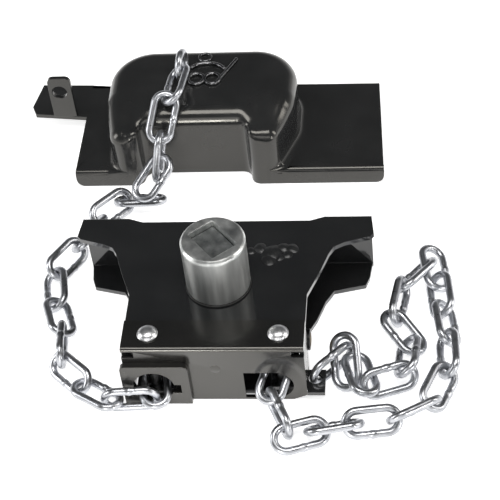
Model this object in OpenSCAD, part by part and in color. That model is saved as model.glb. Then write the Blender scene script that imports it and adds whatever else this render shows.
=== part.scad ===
// Trailer coupler lock: a folded steel base with a post and a lift-out lock pin,
// the cover hood that lies behind it, and the two link chains that tether them.
// Millimetres. The origin is on the post's axis at the base's underside.
// +X is to the right of the front face, +Y points to the back and +Z up.

/* [Base] */
// Height from the underside of the base to the top of its plate
base_h = 53.5; // [50:0.5:58]
// Thickness of the folded plate
plate_t = 4; // [3:0.5:5]
// Half width of the narrow front part
front_half = 66.3; // [65:0.1:70]
// Half width across the two wings
wing_half = 114.3; // [110:0.1:120]
// Distance from the post's axis to the front face
front_reach = 67; // [66:0.5:70]
// Distance from the post's axis to the back edge
back_reach = 66; // [62:0.5:70]
// How far the wings step back behind the middle
wing_step = 4; // [2:0.5:6]
// Depth of a wing from its back edge to its front corner
wing_depth = 23; // [20:0.5:26]
// How far the lower flange stays inside the top plate
flange_inset = 4.8; // [3:0.1:6]
// Thickness of the two ribs under the plate
rib_t = 4; // [3:0.5:6]
// Distance of each rib from the middle
rib_x = 38; // [32:0.5:44]

/* [Front cover] */
// Thickness of the front cover's sheet
cover_t = 3; // [2:0.5:4]
// Depth of the cover's lap over the plate and of its cheeks
cover_lap = 28; // [24:0.5:30]
// Height of the long slot in the face
slot_h = 28; // [26:0.5:30]
// Length of the slot
slot_length = 36; // [32:0.5:38]
// Distance of the slot's round end in from the cover's side
slot_inset = 9.3; // [8:0.1:12]
// Height of the slot's middle above the underside
slot_z = 16; // [15:0.5:18]

/* [Chain plate] */
// Width of the plate that frames the left chain's hole
chain_plate_w = 50; // [46:0.5:52]
// Height of that plate
chain_plate_h = 41.7; // [38:0.1:46]
// Its thickness
chain_plate_t = 4.8; // [3:0.1:6]
// Diameter of the chain's hole
chain_hole_d = 30; // [29:0.5:33]

/* [Post] */
// Diameter of the post
post_d = 48; // [44:0.5:52]
// Height of the post above the plate
post_h = 47.2; // [40:0.1:55]
// Chamfer round the post's rim
post_chamfer = 1.6; // [1:0.1:3]
// Length of the rectangular socket in the post
socket_l = 31; // [28:0.5:33]
// Width of the socket
socket_w = 22; // [20:0.5:24]
// Depth of the socket
socket_depth = 40; // [36:1:42]
// How far the bar's sawn end lies below the rim
bar_recess = 5; // [2:0.5:10]
// Turn of the socket about the post's axis
socket_turn = 40; // [0:1:90]
// Diameter of the column under the post
column_d = 40; // [36:1:44]

/* [Lock pin] */
// Diameter of the pins' shanks
pin_d = 8; // [7:0.1:8.6]
// Diameter of the pins' domed heads
pin_head_d = 15.5; // [14:0.5:17]
// Height of the domed heads
pin_head_h = 4.6; // [3:0.1:6]
// Distance of each pin in from the cover's side
pin_inset = 18.7; // [17.8:0.1:19.2]
// Distance of each pin behind the front face
pin_back = 15; // [14.5:0.1:15.5]
// Diameter of the locking groove
groove_d = 5.6; // [5:0.1:6]
// Radial clearance of a running fit
running_fit = 0.06; // [0.02:0.01:0.1]

/* [Lock] */
// Diameter of the lock's barrel
barrel_d = 16; // [14:0.5:16]
// Diameter of the key plug
plug_d = 10; // [8:0.5:11]
// Distance of the barrel's axis behind the post's axis, negative to the front
barrel_y = -30; // [-30.5:0.1:-29]
// Height of the barrel's axis
barrel_z = 24; // [23:0.1:24.5]
// Throw of the crank pin
crank_throw = 3; // [2.5:0.1:3.2]
// Thickness of the sliding dog
dog_t = 3; // [2.6:0.1:3]
// Free gap around sliding parts
slide_gap = 0.3; // [0.3:0.05:0.5]

/* [Chain] */
// Diameter of the chain's wire
wire_d = 6; // [5:0.1:6]
// Inside length of a link
link_inside = 33; // [32.9:0.05:33.1]
// Outside width of a link
link_width = 24; // [23.8:0.1:24.2]

/* [Anchor tab] */
// Thickness of the tab that holds the right chain's last link
tab_t = 3.5; // [3:0.1:3.6]
// Thickness of the pad under the tab
pad_t = 2.6; // [2.2:0.1:2.8]
// Diameter of the eye in the tab
eye_d = 10.2; // [10:0.1:10.6]

/* [Hood] */
// Thickness of the hood's plate and shell
hood_t = 4; // [3:0.5:5]
// Height of the top of the hood's plate
hood_plate_z = 15.5; // [14:0.5:18]
// Height of the hood's crown
hood_h = 64; // [62:0.5:64.5]
// Front of the hood's folded flange
hood_front = 161; // [161:0.5:163]
// Back edge of the hood's plate
hood_back = 272; // [270:0.5:276]
// Middle of the dome
dome_x = -32; // [-33:0.5:-31]
// Half width of the dome
dome_half = 79; // [76:0.5:82]
// Back of the dome
dome_back = 264; // [260:0.5:266]
// Radius of the dome's back corners
dome_r = 37; // [34:0.5:40]
// Front wall of the dome between its two noses
notch_y = 176; // [176:0.5:180]
// Height of the two noses
nose_h = 55; // [52:0.5:58]
// Half width of the open bay between the noses
bay_half = 45; // [42:0.5:46]
// Diameter of the hole in the hood's lug
lug_hole_d = 13; // [11:0.5:14]

/* [Hidden] */
$fn = 64;
facet = 32;
eps = 0.01;

front_y = -front_reach;
under_plate = base_h - plate_t;
cover_top = base_h + cover_t;
cover_back = front_y + cover_lap;
pin_y = front_y + pin_back;
pin_r = pin_d / 2;
pin_x = front_half - pin_inset;
slot_right = front_half - slot_inset;
slot_left = slot_right - slot_length;

// Link geometry: an oblong of wire with two half rings of radius ring_r, ring_step from the middle.
wire_r = wire_d / 2;
ring_r = (link_width - wire_d) / 2;
ring_step = (link_inside + wire_d) / 2 - ring_r;

// The chains on the floor go along with the cover's sides, which carry their pins.
side_shift = front_half - 66.3;

// Each link is [x, y, lift, heading, rise, roll]: its place, the gap under it, and its turn.
right_links_front = [[43.6, -61.6, 9, -110, -24, 0], [47.3, -89.7, 0, -65, -3, 87], [63, -106, 0, 18, 0, 30],
    [87, -100, 0, 12, 0, -45], [114, -95, 0, 8, 0, 45], [144, -85, 0, 30, 0, -58]];
right_links_side = [[162, -62, 0, 68, 0, 36], [169, -32, 0, 92, 0, -52], [168, -2, 0, 98, 0, 45],
    [164, 27, 0, 96, 0, -42], [160, 55, 0, 100, 7, 28]];
right_links_end = [[145, 45, 2, -129, 1, 47], [133, 17, 1, -100, -3, -72], [136, -11, 1, -52, -14, -13],
    [139, -36, 0, -94, 13, 44], [126, -57, 0, -160, 0, -50], [105, -53, 6, 107, -2, 16],
    [94, -43, 0, -84, -32, 22], [84, -43, 0, -133, 0, 88]];
left_links_front = [[-46, -63, 8, -83, -12, 0], [-63, -76.5, 0, 184, 0, 90], [-89, -72, 6, 148, -3, 14],
    [-112, -51, 1, 137, -2, -45], [-122, -25, 0, 97, -9, -88]];
left_links_back = [[-129, 6, 1, 110, -5, 31], [-137, 36, 0, 101, 0, -35], [-132, 67, 0, 62, -4, 47],
    [-118, 96, 0, 68, -2, -42], [-103, 124, 0, 50, -3, 46], [-81, 135, 0, 0, 2, -30]];
// The hood's own links give the height of their middle in place of the gap.
hood_links = [[-50, 199.5, 77, -98, -4, 37], [-59.5, 174, 64, -106, -42, -17],
    [-63.5, 155, 38.5, -106, -62, 81], [-69, 141, 28, -127, -28, -5]];

// --- Outlines -------------------------------------------------------------

// Right half of the plate's outline, from the middle of the back edge round to the front.
wing_back = back_reach + wing_step;
wing_front = wing_back - wing_depth;
joggle_x = front_half - 1.3;
joggle_run = 11;
neck_y = -11.5;
function wing_outline(edge, inset) = [[joggle_x, back_reach], [joggle_x + joggle_run, wing_back],
    [wing_half - 2.3, wing_back], [edge, wing_front + 3], [edge - 2.8, wing_front - inset],
    [92 - 2 * inset, wing_front - 6 - inset], [85 - inset, wing_front - 10 - inset],
    [81 - inset, wing_front - 17 - inset], [75 - inset, 11.5 - inset]];
top_outline = concat(wing_outline(wing_half, 0), [[front_half, neck_y], [front_half, front_y + cover_t]]);
low_outline = concat(wing_outline(wing_half - flange_inset, flange_inset),
    [[front_half - flange_inset, neck_y], [front_half - flange_inset, front_y + plate_t + 1]]);
web_outline = [[0, back_reach], [joggle_x, back_reach], [joggle_x + joggle_run, wing_back],
    [wing_half - 2.3, wing_back], [wing_half - 2.3, wing_back - plate_t],
    [joggle_x + joggle_run + 1, wing_back - plate_t], [joggle_x + 1, back_reach - plate_t], [0, back_reach - plate_t]];

function mirrored(points) = concat(points, [for (i = [len(points) - 1:-1:0]) [-points[i].x, points[i].y]]);

// A half outline and its mirror image as one flat shape.
module both_halves(points) {
    polygon(mirrored(points));
}

// Copies its children to the right and to the left.
module both_sides() {
    children();
    mirror([1, 0, 0]) children();
}

// A round-ended bar shape between two heights along X, used for slots.
module long_hole(x_min, x_max, height) {
    hull_r = height / 2;
    translate([x_min, -hull_r]) square([x_max - hull_r - x_min, height]);
    translate([x_max - hull_r, 0]) circle(hull_r);
}

// --- Base -----------------------------------------------------------------

module pin_holes(r) {
    for (side = [-1, 1])
        translate([side * pin_x, pin_y, -eps]) cylinder(r = r, h = cover_top + 2 * eps);
}

module channel_body() {
    color("#202224") difference() {
        union() {
            translate([0, 0, under_plate]) linear_extrude(plate_t) both_halves(top_outline);
            linear_extrude(plate_t) both_halves(low_outline);
            linear_extrude(base_h) both_sides() polygon(web_outline);
        }
        pin_holes(pin_r + running_fit);
    }
}

// The face and the lap of the cover, seen from the side, with a rounded fold.
module cover_profile() {
    translate([front_y, 0]) square([cover_t, base_h]);
    translate([front_y + cover_t, base_h]) square([cover_lap - cover_t, cover_t]);
    translate([front_y + cover_t, base_h]) intersection() {
        circle(cover_t);
        translate([-cover_t, 0]) square(cover_t);
    }
}

relief_w = 9.3;
relief_h = 6;
corner_cut = 10;
corner_rise = 25;

module front_cover() {
    color("#242628") difference() {
        union() {
            translate([-front_half, 0, 0]) rotate([90, 0, 90]) linear_extrude(2 * front_half) cover_profile();
            both_sides() translate([front_half - cover_t, front_y + cover_t, 0])
                cube([cover_t, cover_lap - cover_t, under_plate]);
        }
        // Long slot for the right chain, its right end round.
        translate([0, front_y - eps, slot_z]) rotate([90, 0, 0])
            translate([0, 0, -cover_t - 2 * eps]) linear_extrude(cover_t + 3 * eps)
                long_hole(slot_left, slot_right, slot_h);
        // Round hole behind the chain plate's own hole.
        translate([hole_x, front_y + cover_t + 2 * eps, hole_z]) rotate([90, 0, 0])
            cylinder(d = chain_hole_d + 2, h = cover_t + 4 * eps);
        // Corner reliefs beside the fold.
        both_sides() translate([front_half - relief_w, front_y - eps, base_h - relief_h])
            cube([relief_w + eps, cover_t + 2 * eps, relief_h]);
        // Cut lower right corner.
        translate([front_half - corner_cut, front_y - eps, 0]) rotate([0, -corner_rise, 0])
            translate([0, 0, -corner_cut]) cube([corner_cut * 2, cover_t + 1, corner_cut]);
        // Way out for the anchor tab.
        translate([front_half - cover_t - eps, front_y + cover_t, tab_z - slide_gap])
            cube([cover_t + 2 * eps, tab_back - front_y + 1, tab_t + 2 * slide_gap]);
        pin_holes(pin_r + running_fit);
    }
}

hole_x = -(front_half - 21.1);
hole_z = 20;
plate_left = -(front_half + 2.2);
chain_plate_z = 0.3;
notch_w = 5;
notch_h = 9;

module chain_plate() {
    color("#26282a") translate([0, front_y, 0]) rotate([90, 0, 0]) linear_extrude(chain_plate_t) difference() {
        union() {
            translate([plate_left, chain_plate_z]) square([chain_plate_w, chain_plate_h - 4]);
            translate([plate_left + 4, chain_plate_z]) square([chain_plate_w - 8, chain_plate_h]);
            for (x = [plate_left + 4, plate_left + chain_plate_w - 4])
                translate([x, chain_plate_z + chain_plate_h - 4]) circle(4);
        }
        translate([hole_x, hole_z]) circle(d = chain_hole_d);
        translate([hole_x, hole_z - notch_h / 2 - 2.5])
            square([chain_hole_d / 2 + notch_w, notch_h]);
    }
}

// A low dome standing on z = 0, cut from a sphere.
module dome_cap(d, h) {
    ball_r = (d * d / 4 + h * h) / (2 * h);
    intersection() {
        translate([0, 0, h - ball_r]) sphere(ball_r);
        cylinder(d = d, h = h);
    }
}

head_rim = 0.8;

// A domed head on the cover with its shank down through the base.
module domed_pin(foot_z, grooved) {
    translate([0, 0, cover_top]) {
        cylinder(d = pin_head_d, h = head_rim);
        translate([0, 0, head_rim]) dome_cap(pin_head_d, pin_head_h - head_rim);
    }
    difference() {
        translate([0, 0, foot_z]) cylinder(r = pin_r, h = cover_top - foot_z);
        if (grooved)
            translate([0, 0, dog_z - slide_gap]) difference() {
                cylinder(r = pin_r + 1, h = dog_t + 2 * slide_gap);
                translate([0, 0, -eps]) cylinder(d = groove_d, h = dog_t + 2 * slide_gap + 2 * eps);
            }
    }
}

module left_pin() {
    color("gainsboro") translate([-pin_x, pin_y, 0]) domed_pin(0, false);
}

module lock_pin() {
    color("gainsboro") translate([pin_x, pin_y, 0]) domed_pin(0.5, true);
}

tab_back = front_y + 19.6;
tab_reach = 2;
tab_left = pin_x - 8;
tab_right = front_half + 13.2;
eye_x = tab_right - 7.5;
eye_y = front_y + 11.5;
tab_z = plate_t + pad_t;

module tab_pad() {
    color("#202224") translate([tab_left, pin_y - 9, plate_t]) difference() {
        cube([front_half - flange_inset - tab_left - 1, 13, pad_t]);
        translate([pin_x - tab_left, 9, -eps]) cylinder(r = pin_r + 1, h = pad_t + 2 * eps);
    }
}

module anchor_tab() {
    color("#202224") translate([0, 0, tab_z]) difference() {
        union() {
            translate([tab_left, front_y + cover_t + slide_gap, 0])
                cube([tab_right - tab_left, tab_back - front_y - cover_t - slide_gap, tab_t]);
            // Beside the cover the tab runs on to the front.
            translate([front_half + slide_gap, front_y - tab_reach, 0])
                cube([tab_right - front_half - slide_gap, tab_back - front_y + tab_reach, tab_t]);
        }
        translate([pin_x, pin_y, -eps]) cylinder(r = pin_r + 1, h = tab_t + 2 * eps);
        translate([eye_x, eye_y, -eps]) cylinder(d = eye_d, h = tab_t + 2 * eps);
    }
}

// --- Post -----------------------------------------------------------------

post_top = base_h + post_h;
bar_gap = 0.3;
ring_seal_r = 0.9;
seal_seat_r = post_d / 2 - ring_seal_r;
seal_seat_h = 2 * ring_seal_r + 0.3;

module socket_shape(clear, height) {
    rotate([0, 0, socket_turn]) translate([-socket_w / 2 + clear, -socket_l / 2 + clear, 0])
        cube([socket_w - 2 * clear, socket_l - 2 * clear, height]);
}

module coupler_post() {
    color("silver") translate([0, 0, base_h]) difference() {
        rotate_extrude() polygon([[0, 0], [seal_seat_r, 0], [seal_seat_r, seal_seat_h], [post_d / 2, seal_seat_h],
            [post_d / 2, post_h - post_chamfer], [post_d / 2 - post_chamfer, post_h], [0, post_h]]);
        translate([0, 0, post_h - socket_depth]) socket_shape(0, socket_depth + eps);
    }
}

module socket_bar() {
    color("darkgray") translate([0, 0, post_top - socket_depth])
        socket_shape(bar_gap, socket_depth - bar_recess);
}

// The seal lies in the seat cut round the post's foot.
module post_ring() {
    color("black") translate([0, 0, base_h + ring_seal_r]) rotate_extrude()
        translate([seal_seat_r + ring_seal_r, 0]) circle(ring_seal_r, $fn = 24);
}

module core_column() {
    color("dimgray") translate([0, 0, plate_t]) cylinder(d = column_d, h = under_plate - plate_t);
}

rib_front = 20;

module rib_plates() {
    color("#202224") both_sides() translate([rib_x - rib_t / 2, rib_front, plate_t])
        cube([rib_t, back_reach - plate_t - rib_front, under_plate - plate_t]);
}

// Beads of the plug weld over the right rib: [x, y, width, height].
weld_beads = [[27, 32, 13, 1.4], [34, 37, 12, 2.2], [42, 33, 14, 1.9], [50, 34, 13, 1.6], [40, 23, 16, 1.2]];

module plug_weld() {
    color("#202224") for (bead = weld_beads)
        translate([bead[0] + rib_x - 38, bead[1], base_h]) {
            cylinder(d = bead[2], h = bead[3] - 0.6);
            translate([0, 0, bead[3] - 0.6]) cylinder(d = bead[2] - 3, h = 0.6);
        }
}

// --- Lock -----------------------------------------------------------------

bracket_x = pin_x + 8.4;
bracket_t = 4;
bracket_w = 24;
collar_t = 2;
nut_t = 4;
barrel_left = bracket_x - 12.4;
barrel_right = front_half + 1.7;
cam_t = 3;
cam_x = barrel_left - cam_t - slide_gap;
tail_t = 4;
tail_x = cam_x - tail_t - 1;
dog_z = 33.5;
dog_travel = crank_throw * sqrt(2);
crank_r = 1.5;
fork_w = groove_d + 2 * slide_gap;
fork_tip = pin_y + pin_r + slide_gap + 0.1;
prong_w = 5;
dog_back = barrel_y + 6;
dog_left = pin_x - 22.6;
dog_right = bracket_x - slide_gap - 1;
guide_w = 11;
screw_x = dog_left + 5;
screw_y = [barrel_y - 10, barrel_y + 1];
screw_shank_r = 2;
screw_head_r = 3.5;

module barrel_axis(x) {
    translate([x, barrel_y, barrel_z]) rotate([0, 90, 0]) children();
}

module lock_bracket() {
    color("#303234") difference() {
        translate([bracket_x, barrel_y - bracket_w / 2, plate_t])
            cube([bracket_t, bracket_w, under_plate - plate_t]);
        barrel_axis(bracket_x - eps) cylinder(d = barrel_d, h = bracket_t + 2 * eps);
    }
}

module lock_barrel() {
    color("lightgray") difference() {
        union() {
            barrel_axis(barrel_left) cylinder(d = barrel_d, h = barrel_right - barrel_left);
            barrel_axis(bracket_x + bracket_t) cylinder(d = barrel_d + 4, h = collar_t);
        }
        barrel_axis(barrel_left - eps)
            cylinder(r = plug_d / 2 + running_fit, h = barrel_right - barrel_left + 2 * eps);
    }
}

module barrel_nut() {
    color("darkgray") barrel_axis(bracket_x - nut_t) difference() {
        cylinder(d = barrel_d + 2.4, h = nut_t);
        translate([0, 0, -eps]) cylinder(d = barrel_d, h = nut_t + 2 * eps);
    }
}

key_slot_w = 1.4;
key_slot_l = 7;
key_slot_depth = 18;
plug_lip = 0.4;

module key_plug() {
    color("gold") barrel_axis(barrel_left - slide_gap) difference() {
        cylinder(d = plug_d, h = barrel_right - barrel_left + slide_gap + plug_lip);
        translate([-key_slot_l / 2, -key_slot_w / 2, barrel_right - barrel_left + slide_gap + plug_lip - key_slot_depth])
            cube([key_slot_l, key_slot_w, key_slot_depth + eps]);
    }
}

module cam_crank() {
    color("silver") {
        barrel_axis(cam_x) cylinder(d = barrel_d - 2, h = cam_t);
        translate([cam_x - tail_t - 0.7, barrel_y, barrel_z]) rotate([-45, 0, 0]) translate([0, 0, crank_throw])
            rotate([0, 90, 0]) cylinder(r = crank_r, h = tail_t + 0.7);
    }
}

module lock_dog() {
    tail_slot_w = 2 * (crank_r + slide_gap + 0.15);
    tail_y = barrel_y + dog_travel / 2;
    color("lightsteelblue") difference() {
        union() {
            translate([dog_left, pin_y + pin_r + 3.5, dog_z])
                cube([dog_right - dog_left, dog_back - pin_y - pin_r - 3.5, dog_t]);
            translate([pin_x - fork_w / 2 - prong_w, fork_tip, dog_z])
                cube([fork_w + 2 * prong_w, 6, dog_t]);
            translate([tail_x, tail_y - 5, barrel_z - 4])
                cube([tail_t, 10, dog_z - barrel_z + 4 + eps]);
        }
        // Fork: a round-bottomed notch that takes the pin's groove.
        translate([pin_x, fork_tip - eps, dog_z - eps]) {
            translate([-fork_w / 2, -fork_w / 2, 0]) cube([fork_w, fork_w / 2, dog_t + 2 * eps]);
            cylinder(d = fork_w, h = dog_t + 2 * eps);
        }
        // Upright slot in the tail for the crank pin.
        translate([tail_x - eps, tail_y - tail_slot_w / 2, barrel_z - eps])
            cube([tail_t + 2 * eps, tail_slot_w, 7]);
        // Slots for the guide screws.
        for (y = screw_y) {
            slot_r = screw_shank_r + slide_gap;
            translate([screw_x - slot_r, y, dog_z - eps]) cube([2 * slot_r, dog_travel, dog_t + 2 * eps]);
            for (end_y = [y, y + dog_travel])
                translate([screw_x, end_y, dog_z - eps]) cylinder(r = slot_r, h = dog_t + 2 * eps);
        }
    }
}

module dog_guide() {
    color("dimgray") difference() {
        translate([screw_x - guide_w / 2, screw_y[0] - 6, dog_z + dog_t + slide_gap])
            cube([guide_w, screw_y[1] - screw_y[0] + 12, under_plate - dog_z - dog_t - slide_gap]);
        for (y = screw_y)
            translate([screw_x, y, dog_z]) cylinder(r = screw_shank_r, h = dog_t + slide_gap + 8);
    }
}

module guide_screws() {
    color("silver") for (y = screw_y) translate([screw_x, y, 0]) {
        translate([0, 0, dog_z - slide_gap - 2.2]) cylinder(r = screw_head_r, h = 2.2);
        translate([0, 0, dog_z - slide_gap]) cylinder(r = screw_shank_r, h = dog_t + 2 * slide_gap + 8);
    }
}

// --- Chains ---------------------------------------------------------------

// One link lying along X with its width along Y.
module link() {
    for (side = [-1, 1]) {
        translate([-ring_step, side * ring_r, 0]) rotate([0, 90, 0])
            cylinder(r = wire_r, h = 2 * ring_step, $fn = 24);
        translate([side * ring_step, 0, 0]) rotate([0, 0, side > 0 ? -90 : 90])
            rotate_extrude(angle = 180) translate([ring_r, 0]) circle(wire_r, $fn = 24);
    }
}

// Height of a link's middle above its lowest point, for its rise and roll.
function stance(rise, roll) = wire_r + ring_step * abs(sin(rise))
    + ring_r * norm([sin(rise), cos(rise) * sin(roll)]);

module turned_link(place, middle_z) {
    translate([place[0], place[1], middle_z]) rotate([place[5], -place[4], place[3]]) link();
}

module floor_links(places, side) {
    color("silver") translate([side * side_shift, 0, 0])
        for (p = places) turned_link(p, p[2] + stance(p[4], p[5]));
}

module right_chain_front() floor_links(right_links_front, 1);
module right_chain_side() floor_links(right_links_side, 1);
module right_chain_end() floor_links(right_links_end, 1);
module left_chain_front() floor_links(left_links_front, -1);
module left_chain_back() floor_links(left_links_back, -1);

module hood_chain() {
    color("silver") for (p = hood_links) turned_link(p, p[2]);
}

// --- Hood -----------------------------------------------------------------

hood_left = -138.5;
hood_right = 119.2;
hood_under = hood_plate_z - hood_t;
ear_left = -188.3;
ear_outline = [[hood_left, 231], [hood_left, hood_back + 1], [ear_left + 5.3, hood_back + 2.7],
    [ear_left, hood_back - 26.5], [ear_left + 4.3, 236]];
hood_outline = [[hood_left, hood_front + eps], [hood_right, hood_front + eps], [hood_right - 5.3, hood_back - 1.3],
    [hood_left + 0.3, hood_back + 1]];
back_x = dome_half - dome_r;
bay_x = dome_x - 4;
nose_edge = 9;
// Each nose's radius and its distance in from the dome's side.
noses = [[12.5, 5], [11, 11.5]];

// Rounded-top pillar used to build the dome: radius r, up to height top with an edge radius.
module pillar(r, low, top, edge) {
    translate([0, 0, low]) cylinder(r = r, h = top - edge - low, $fn = facet);
    translate([0, 0, top - edge]) rotate_extrude($fn = facet) translate([r - edge, 0]) intersection() {
        circle(edge, $fn = facet);
        square(edge);
    }
    translate([0, 0, top - edge]) cylinder(r = r - edge, h = edge, $fn = facet);
}

// The dome as a solid, drawn in by the given inset on every side but the bottom.
module dome_solid(inset, low) {
    edge = 13 - inset;
    hull() {
        for (side = [-1, 1]) {
            translate([dome_x + side * back_x, dome_back - dome_r, 0]) pillar(dome_r - inset, low, hood_h - inset, edge);
            translate([dome_x + side * (dome_half - 24), 198, 0]) pillar(24 - inset, low, hood_h - inset, edge);
        }
        for (i = [0, 1]) {
            nose_r = noses[i][0];
            nose_x = (2 * i - 1) * (dome_half - noses[i][1] - nose_r);
            translate([dome_x + nose_x, hood_front + nose_r, 0])
                pillar(nose_r - inset, low, nose_h - inset, nose_edge - inset);
        }
    }
}

// The open bay between the two noses, widened by the wall for the inner side.
module nose_bay(wall) {
    translate([bay_x - bay_half - wall, 100, -1])
        cube([2 * (bay_half + wall), notch_y - 100 + wall, hood_h + 2]);
}

module hood_dome() {
    color("#1c1e20") {
        difference() {
            dome_solid(0, hood_plate_z);
            nose_bay(0);
            difference() {
                dome_solid(hood_t, hood_plate_z - 1);
                nose_bay(hood_t);
            }
        }
        // The bay's wall and its two side walls run on down to the hood's foot.
        translate([bay_x - bay_half - hood_t, hood_front, 0]) difference() {
            cube([2 * (bay_half + hood_t), notch_y + hood_t - hood_front, hood_plate_z]);
            translate([hood_t, -1, -1])
                cube([2 * bay_half, notch_y - hood_front + 1, hood_plate_z + 2]);
        }
    }
}

flange_corner = 7;

// A flange's face: straight at the top, its lower corners rounded.
module flange_shape(x_min, x_max, height) {
    translate([x_min, flange_corner]) square([x_max - x_min, height - flange_corner]);
    translate([x_min + flange_corner, 0]) square([x_max - x_min - 2 * flange_corner, flange_corner]);
    for (x = [x_min + flange_corner, x_max - flange_corner])
        translate([x, flange_corner]) circle(flange_corner);
}

module hood_plate() {
    color("#1c1e20") {
        difference() {
            union() {
                translate([0, 0, hood_under]) linear_extrude(hood_t) union() {
                    polygon(hood_outline);
                    polygon(ear_outline);
                }
                // Folded front flange.
                translate([0, hood_front + hood_t, 0]) rotate([90, 0, 0]) linear_extrude(hood_t)
                    flange_shape(hood_left, hood_right, hood_plate_z);
            }
            difference() {
                translate([0, 0, hood_under - 1]) intersection() {
                    dome_solid(hood_t, -1);
                    translate([-200, 0, 0]) cube([400, 400, hood_t + 2]);
                }
                nose_bay(hood_t);
            }
            // Room for the bay, whose own walls belong to the dome.
            translate([bay_x - bay_half - hood_t, 100, -1])
                cube([2 * (bay_half + hood_t), notch_y + hood_t - 100, hood_plate_z + 2]);
        }
        // Folded back flange, which holds the plate level.
        translate([0, hood_back - 1.5, 0]) rotate([90, 0, 0]) linear_extrude(hood_t)
            flange_shape(hood_left, hood_right - 5.5, hood_under + eps);
    }
}

lug_x = -157.7;
lug_w = 18.5;
lug_top = 58;
lug_hole_z = 43;
lug_y = 232;
lug_corner = 5;

module lug_plate() {
    color("#1c1e20") translate([lug_x, lug_y + hood_t, 0]) rotate([90, 0, 0]) linear_extrude(hood_t) difference() {
        union() {
            translate([-lug_w / 2, hood_plate_z]) square([lug_w + 1.5, lug_top - lug_corner - hood_plate_z]);
            translate([-lug_w / 2 + lug_corner, hood_plate_z])
                square([lug_w + 1.5 - 2 * lug_corner, lug_top - hood_plate_z]);
            for (x = [-lug_w / 2 + lug_corner, lug_w / 2 + 1.5 - lug_corner])
                translate([x, lug_top - lug_corner]) circle(lug_corner);
        }
        translate([0, lug_hole_z]) circle(d = lug_hole_d);
    }
}

eye_ring_r = 11;
crown_eye_x = -47;
crown_eye_y = 222.5;

module crown_eye() {
    color("silver") translate([crown_eye_x, crown_eye_y, hood_h + eye_ring_r + wire_r])
        rotate([0, 0, -7]) rotate([0, 90, 0]) rotate_extrude() translate([eye_ring_r, 0]) circle(wire_r, $fn = 24);
}

clip_wire_r = 1.5;
clip_loop_r = 6.5;
clip_x = -36;
clip_y = 220;
clip_pitch = 13.4;

// Hairpin clip lying on the crown: two open coils, a bowed back and a straight leg.
module pin_clip() {
    color("gray") translate([clip_x, clip_y, hood_h + clip_wire_r]) {
        for (i = [0, 1])
            translate([i * clip_pitch, 0, 0]) rotate_extrude() translate([clip_loop_r, 0]) circle(clip_wire_r, $fn = 16);
        translate([clip_pitch / 2 + 1, 2, 0]) rotate([0, 0, 35]) rotate_extrude(angle = 100)
            translate([18, 0]) circle(clip_wire_r, $fn = 16);
        translate([clip_pitch + 3, -clip_loop_r, 0]) rotate([0, 90, 63]) cylinder(r = clip_wire_r, h = 34, $fn = 16);
    }
}

staple_r = 1;
staple_ring_r = 5;

module clip_ring() {
    color("gray") translate([-31, 248, hood_h + staple_r]) rotate_extrude()
        translate([staple_ring_r, 0]) circle(staple_r, $fn = 16);
}

channel_body();
front_cover();
chain_plate();
left_pin();
lock_pin();
anchor_tab();
tab_pad();
coupler_post();
socket_bar();
post_ring();
core_column();
rib_plates();
plug_weld();
lock_bracket();
lock_barrel();
barrel_nut();
dog_guide();
guide_screws();
key_plug();
cam_crank();
lock_dog();
right_chain_front();
right_chain_side();
right_chain_end();
left_chain_front();
left_chain_back();
hood_plate();
hood_dome();
lug_plate();
crown_eye();
pin_clip();
clip_ring();
hood_chain();
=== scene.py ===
"""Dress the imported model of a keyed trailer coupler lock.

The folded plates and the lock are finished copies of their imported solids. Chains, hood, pins, post,
weld, seal and clip are surfaces worked out with numpy, at the solids' places and by their sizes, and
every piece gets a procedural finish. Lengths are in millimetres until a mesh is made.
"""

from __future__ import annotations

import logging
import math
from dataclasses import dataclass, field, replace
from enum import Enum
from functools import lru_cache
from typing import Callable, Iterable, Sequence

import bmesh
import bpy
import numpy as np
from mathutils import Matrix

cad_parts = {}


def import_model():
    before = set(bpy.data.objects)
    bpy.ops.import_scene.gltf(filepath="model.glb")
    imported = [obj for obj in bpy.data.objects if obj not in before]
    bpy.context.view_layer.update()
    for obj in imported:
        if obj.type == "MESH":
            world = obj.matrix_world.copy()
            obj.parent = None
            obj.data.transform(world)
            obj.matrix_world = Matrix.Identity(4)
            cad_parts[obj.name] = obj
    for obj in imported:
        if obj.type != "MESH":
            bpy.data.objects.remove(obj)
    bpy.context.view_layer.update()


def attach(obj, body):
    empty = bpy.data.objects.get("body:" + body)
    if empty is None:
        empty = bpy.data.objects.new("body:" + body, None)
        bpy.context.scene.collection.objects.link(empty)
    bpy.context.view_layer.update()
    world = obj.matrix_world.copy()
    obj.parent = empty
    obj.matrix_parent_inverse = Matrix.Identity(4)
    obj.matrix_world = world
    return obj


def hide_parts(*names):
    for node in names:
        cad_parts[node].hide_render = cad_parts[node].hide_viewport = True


LOG = logging.getLogger("coupler_lock")
MM = 0.001
SHARP_ANGLE = math.radians(32)  # edges sharper than this stay sharp
FLAT_ANGLE = math.radians(0.6)  # faces flatter than this become one
GRID_MERGE, NODE_MERGE = 1e-6, 2e-6  # how near points are merged, in metres
NOISE_RANGE = (0.3, 0.7)  # the part of a noise's range that a finish spreads
SMEAR_SCALE = 2.3  # cycles of the roughness for each cycle of the colour
COAT_ROUGHNESS = 0.12
DENT_FLOOR = 0.72  # the flat part of a dent, as a share of its half sizes

Array = np.ndarray
Socket = bpy.types.NodeSocket
Triple = tuple[float, float, float]
Pair = tuple[Array, Array]


class Body(Enum):
    """The rigid bodies that pieces ride on."""

    BASE = "base"
    LIFT_PIN = "lift_pin"
    KEY = "key_cylinder"
    DOG = "dog"
    HOOD = "hood"


class Slot(Enum):
    """The record's material slots."""

    PAINT = "black_paint"
    TURNED = "turned_steel"
    ZINC = "bright_zinc"
    DARK = "dark_steel"
    RUBBER = "black_rubber"
    BRASS = "brass"


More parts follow.
